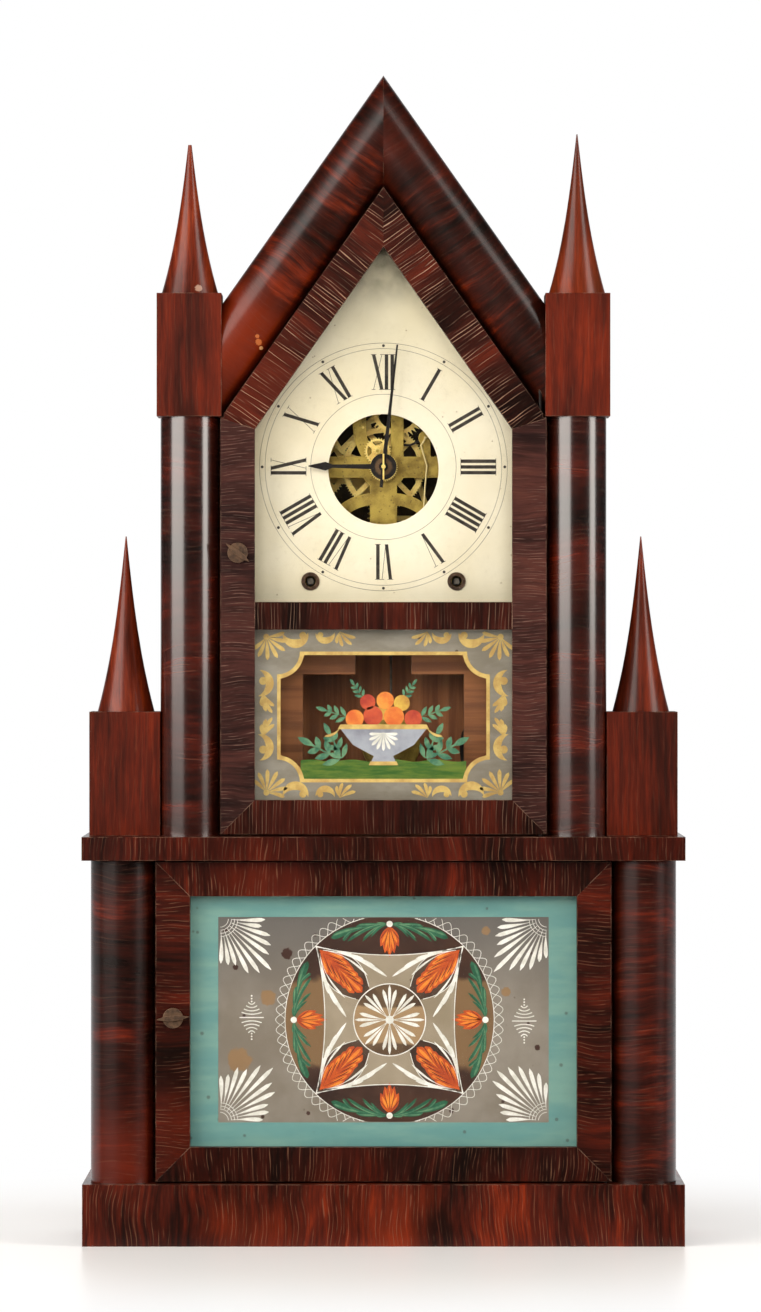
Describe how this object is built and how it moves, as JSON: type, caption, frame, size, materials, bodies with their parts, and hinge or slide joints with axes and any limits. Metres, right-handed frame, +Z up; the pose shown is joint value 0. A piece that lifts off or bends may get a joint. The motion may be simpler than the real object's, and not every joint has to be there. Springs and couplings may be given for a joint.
{
  "type": "double steeple clock",
  "caption": "Two-storey steeple shelf clock with gabled glazed door, painted glass tablets, open-centre dial, working wheel trains, pendulum and leaf spring drive.",
  "frame": {"origin": "middle of the underside of the base, on the surface that the clock stands on", "axes": "+Z up, the dial faces -Y, +X to the right as seen from the front"},
  "size_m": [0.3436, 0.108, 0.6692],
  "materials": {
    "rosewood": "crossbanded rosewood veneer, dark and glossy",
    "column_wood": "turned rosewood veneer with a worn polish",
    "moulding_wood": "half-round veneered mouldings with a worn polish",
    "block_wood": "orange-brown veneer with fine cracks",
    "spire_wood": "turned wood with a worn polish",
    "carcass_wood": "stained softwood, satin",
    "inner_wood": "bare pine, matt",
    "seat_wood": "bare maple, matt",
    "pulley_wood": "turned hardwood, matt",
    "dial_glass": "clear old window glass",
    "upper_tablet": "glass painted on its back",
    "lower_tablet": "glass painted on its back",
    "dial_paint": "cream paint on sheet zinc, aged",
    "plate_brass": "rolled brass, tarnished",
    "wheel_brass": "cut brass, lightly tarnished",
    "fitting_brass": "cast brass, handled",
    "steel": "drawn steel, dulled",
    "hand_steel": "blackened steel",
    "iron": "black iron",
    "spring_steel": "oiled spring steel leaves",
    "label_paper": "aged rag paper",
    "cord": "twisted gut and cord"
  },
  "bodies": {
    "case": {"plinth": "rosewood", "base_board": "inner_wood", "lower_carcass": "carcass_wood", "lower_backboard": "inner_wood", "lower_columns": "column_wood", "ledge": "rosewood", "upper_carcass": "carcass_wood", "roof": "carcass_wood", "upper_backboard": "inner_wood", "upper_columns": "column_wood", "gable_mouldings": "moulding_wood", "spire_blocks": "block_wood", "spires": "spire_wood", "paper_label": "label_paper", "dial": "dial_paint", "dial_supports": "inner_wood", "winding_grommets": "fitting_brass", "seat_rails": "seat_wood", "front_plate": "plate_brass", "back_plate": "plate_brass", "plate_pillars": "plate_brass", "gong": "iron", "leaf_spring": "spring_steel", "pulley_studs": "iron", "drive_cords": "cord"},
    "upper_door": {"upper_door_stiles": "rosewood", "upper_door_rails": "rosewood", "dial_glass": "dial_glass", "upper_tablet": "upper_tablet", "upper_door_pins": "steel"},
    "lower_door": {"lower_door_stiles": "rosewood", "lower_door_rails": "rosewood", "lower_tablet": "lower_tablet", "lower_door_pins": "steel"},
    "upper_latch": {"upper_latch": "fitting_brass"},
    "lower_latch": {"lower_latch": "fitting_brass"},
    "minute": {"centre_arbor": "wheel_brass", "minute_hand": "hand_steel"},
    "hour": {"hour_wheel": "wheel_brass", "hour_hand": "hand_steel"},
    "motion": {"motion_wheel": "wheel_brass"},
    "second": {"second_wheel": "wheel_brass"},
    "time_great": {"time_great_wheel": "wheel_brass"},
    "time_drum": {"time_drum": "steel"},
    "time_click": {"time_click": "iron"},
    "third": {"third_wheel": "wheel_brass"},
    "escape": {"escape_wheel": "wheel_brass"},
    "verge": {"verge": "steel"},
    "pendulum": {"pendulum_rod": "steel", "pendulum_bob": "fitting_brass"},
    "pin": {"pin_wheel": "wheel_brass"},
    "strike_great": {"strike_great_wheel": "wheel_brass"},
    "strike_drum": {"strike_drum": "steel"},
    "strike_click": {"strike_click": "iron"},
    "warning": {"warning_wheel": "wheel_brass"},
    "fly": {"fly": "wheel_brass"},
    "count": {"count_wheel": "wheel_brass"},
    "hammer": {"hammer": "steel"},
    "time_pulley": {"time_pulley": "pulley_wood"},
    "strike_pulley": {"strike_pulley": "pulley_wood"}
  },
  "joints": [
    {"name": "upper_door_hinge", "type": "hinge", "parent": "case", "child": "upper_door", "pos_m": [0.0898, -0.0328, 0.353], "axis": [0, 0, 1], "range_deg": [0, 95]},
    {"name": "lower_door_hinge", "type": "hinge", "parent": "case", "child": "lower_door", "pos_m": [0.1269, -0.0418, 0.127], "axis": [0, 0, 1], "range_deg": [0, 110]},
    {"name": "upper_latch_turn", "type": "hinge", "parent": "upper_door", "child": "upper_latch", "pos_m": [-0.0834, -0.03, 0.395], "axis": [0, -1, 0], "range_deg": [-90, 45]},
    {"name": "lower_latch_turn", "type": "hinge", "parent": "lower_door", "child": "lower_latch", "pos_m": [-0.1201, -0.038, 0.1295], "axis": [0, -1, 0], "range_deg": [-95, 0]},
    {"name": "minute_spin", "type": "hinge", "parent": "case", "child": "minute", "pos_m": [0, 0, 0.4449], "axis": [0, -1, 0], "continuous": true},
    {"name": "hour_spin", "type": "hinge", "parent": "case", "child": "hour", "pos_m": [0, -0.004, 0.4449], "axis": [0, -1, 0], "continuous": true},
    {"name": "motion_spin", "type": "hinge", "parent": "case", "child": "motion", "pos_m": [-0.00342, 0.0014, 0.4543], "axis": [0, -1, 0], "continuous": true},
    {"name": "second_spin", "type": "hinge", "parent": "case", "child": "second", "pos_m": [0.0272, 0.02, 0.41612], "axis": [0, -1, 0], "continuous": true},
    {"name": "time_great_spin", "type": "hinge", "parent": "case", "child": "time_great", "pos_m": [0.0421, 0.0088, 0.379], "axis": [0, -1, 0], "continuous": true},
    {"name": "third_spin", "type": "hinge", "parent": "case", "child": "third", "pos_m": [-0.01179, 0.02, 0.46807], "axis": [0, -1, 0], "continuous": true},
    {"name": "escape_spin", "type": "hinge", "parent": "case", "child": "escape", "pos_m": [0.008, 0.012, 0.4783], "axis": [0, -1, 0], "continuous": true},
    {"name": "verge_swing", "type": "hinge", "parent": "case", "child": "verge", "pos_m": [0.02421, 0.01, 0.46209], "axis": [0, -1, 0], "range_deg": [-4, 4]},
    {"name": "pendulum_swing", "type": "hinge", "parent": "case", "child": "pendulum", "pos_m": [0.0044, 0.04, 0.486], "axis": [0, -1, 0], "range_deg": [-2, 2]},
    {"name": "time_drum_turn", "type": "hinge", "parent": "case", "child": "time_drum", "pos_m": [0.0421, 0.018, 0.379], "axis": [0, -1, 0], "range_deg": [0, 720]},
    {"name": "strike_drum_turn", "type": "hinge", "parent": "case", "child": "strike_drum", "pos_m": [-0.0421, 0.018, 0.379], "axis": [0, -1, 0], "range_deg": [-720, 0]},
    {"name": "time_pulley_turn", "type": "hinge", "parent": "case", "child": "time_pulley", "pos_m": [0.1145, 0.019, 0.14], "axis": [0, -1, 0], "range_deg": [-180, 0]},
    {"name": "strike_pulley_turn", "type": "hinge", "parent": "case", "child": "strike_pulley", "pos_m": [-0.1145, 0.019, 0.14], "axis": [0, -1, 0], "range_deg": [0, 180]},
    {"name": "time_click_lift", "type": "hinge", "parent": "time_great", "child": "time_click", "pos_m": [0.0421, 0.0104, 0.393], "axis": [0, -1, 0], "range_deg": [-8, 0]},
    {"name": "strike_click_lift", "type": "hinge", "parent": "strike_great", "child": "strike_click", "pos_m": [-0.0421, 0.0104, 0.393], "axis": [0, -1, 0], "range_deg": [0, 8]},
    {"name": "pin_wheel_spin", "type": "hinge", "parent": "case", "child": "pin", "pos_m": [-0.0272, 0.02, 0.41612], "axis": [0, -1, 0], "continuous": true},
    {"name": "strike_great_spin", "type": "hinge", "parent": "case", "child": "strike_great", "pos_m": [-0.0421, 0.0088, 0.379], "axis": [0, -1, 0], "continuous": true},
    {"name": "warning_spin", "type": "hinge", "parent": "case", "child": "warning", "pos_m": [-0.04073, 0.02, 0.44512], "axis": [0, -1, 0], "continuous": true},
    {"name": "fly_spin", "type": "hinge", "parent": "case", "child": "fly", "pos_m": [-0.03514, 0.02, 0.46599], "axis": [0, -1, 0], "continuous": true},
    {"name": "count_spin", "type": "hinge", "parent": "case", "child": "count", "pos_m": [-0.05291, 0.001, 0.41387], "axis": [0, -1, 0], "continuous": true},
    {"name": "hammer_lift", "type": "hinge", "parent": "case", "child": "hammer", "pos_m": [-0.004, 0.02, 0.366], "axis": [0, -1, 0], "range_deg": [0, 12]}
  ],
  "couplings": [
    {"joint": "hour_spin", "follows": "minute_spin", "ratio": 0.083333},
    {"joint": "motion_spin", "follows": "minute_spin", "ratio": -0.33333},
    {"joint": "second_spin", "follows": "minute_spin", "ratio": -0.1},
    {"joint": "time_great_spin", "follows": "minute_spin", "ratio": 0.011111},
    {"joint": "third_spin", "follows": "minute_spin", "ratio": -12},
    {"joint": "escape_spin", "follows": "minute_spin", "ratio": 96},
    {"joint": "verge_swing", "follows": "pendulum_swing", "ratio": 2},
    {"joint": "time_pulley_turn", "follows": "time_drum_turn", "ratio": -0.24554},
    {"joint": "strike_pulley_turn", "follows": "strike_drum_turn", "ratio": -0.24554},
    {"joint": "strike_great_spin", "follows": "pin_wheel_spin", "ratio": -0.11111},
    {"joint": "warning_spin", "follows": "pin_wheel_spin", "ratio": -9},
    {"joint": "fly_spin", "follows": "pin_wheel_spin", "ratio": 72},
    {"joint": "count_spin", "follows": "pin_wheel_spin", "ratio": -0.10256}
  ]
}
